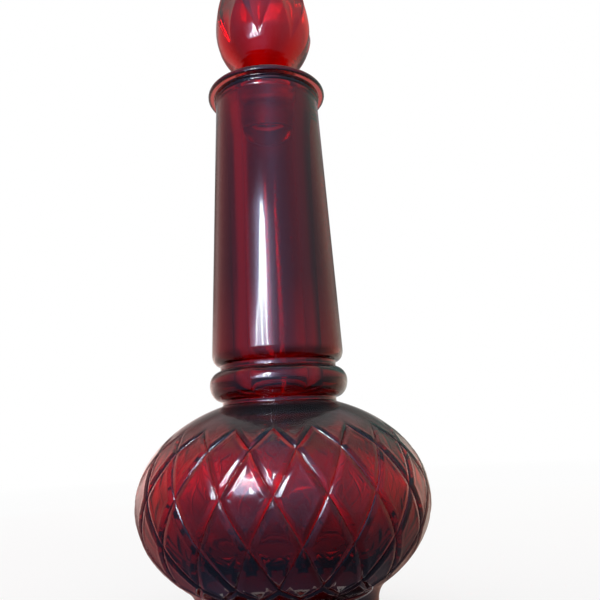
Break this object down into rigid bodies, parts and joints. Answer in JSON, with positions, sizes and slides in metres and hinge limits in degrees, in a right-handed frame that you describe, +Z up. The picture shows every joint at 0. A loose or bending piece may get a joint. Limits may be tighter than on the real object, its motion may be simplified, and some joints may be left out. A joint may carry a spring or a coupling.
{
  "type": "glass decanter",
  "caption": "Ruby glass decanter: thick-walled bottle with diamond-cut ball body, collar ring, tall tapered neck and rolled lip, and a lift-out stopper with a fluted finial.",
  "frame": {"origin": "centre of the flat base, on the axis of the bottle", "axes": "+Z up along the axis of the bottle and stopper; -Y is the side that the picture shows"},
  "size_m": [0.138, 0.138, 0.3487],
  "materials": {
    "bottle_glass": "thick clear ruby glass, polished, with narrow cut grooves on the body",
    "stopper_glass": "solid clear ruby glass, polished, with pointed flutes on the finial and a ground taper on the shank"
  },
  "bodies": {
    "bottle_body": {"bottle": "bottle_glass"},
    "stopper_body": {"stopper": "stopper_glass"}
  },
  "joints": [
    {"name": "stopper_lift", "type": "slide", "parent": "bottle_body", "child": "stopper_body", "axis": [0, 0, 1], "range_m": [0, 0.045]}
  ]
}
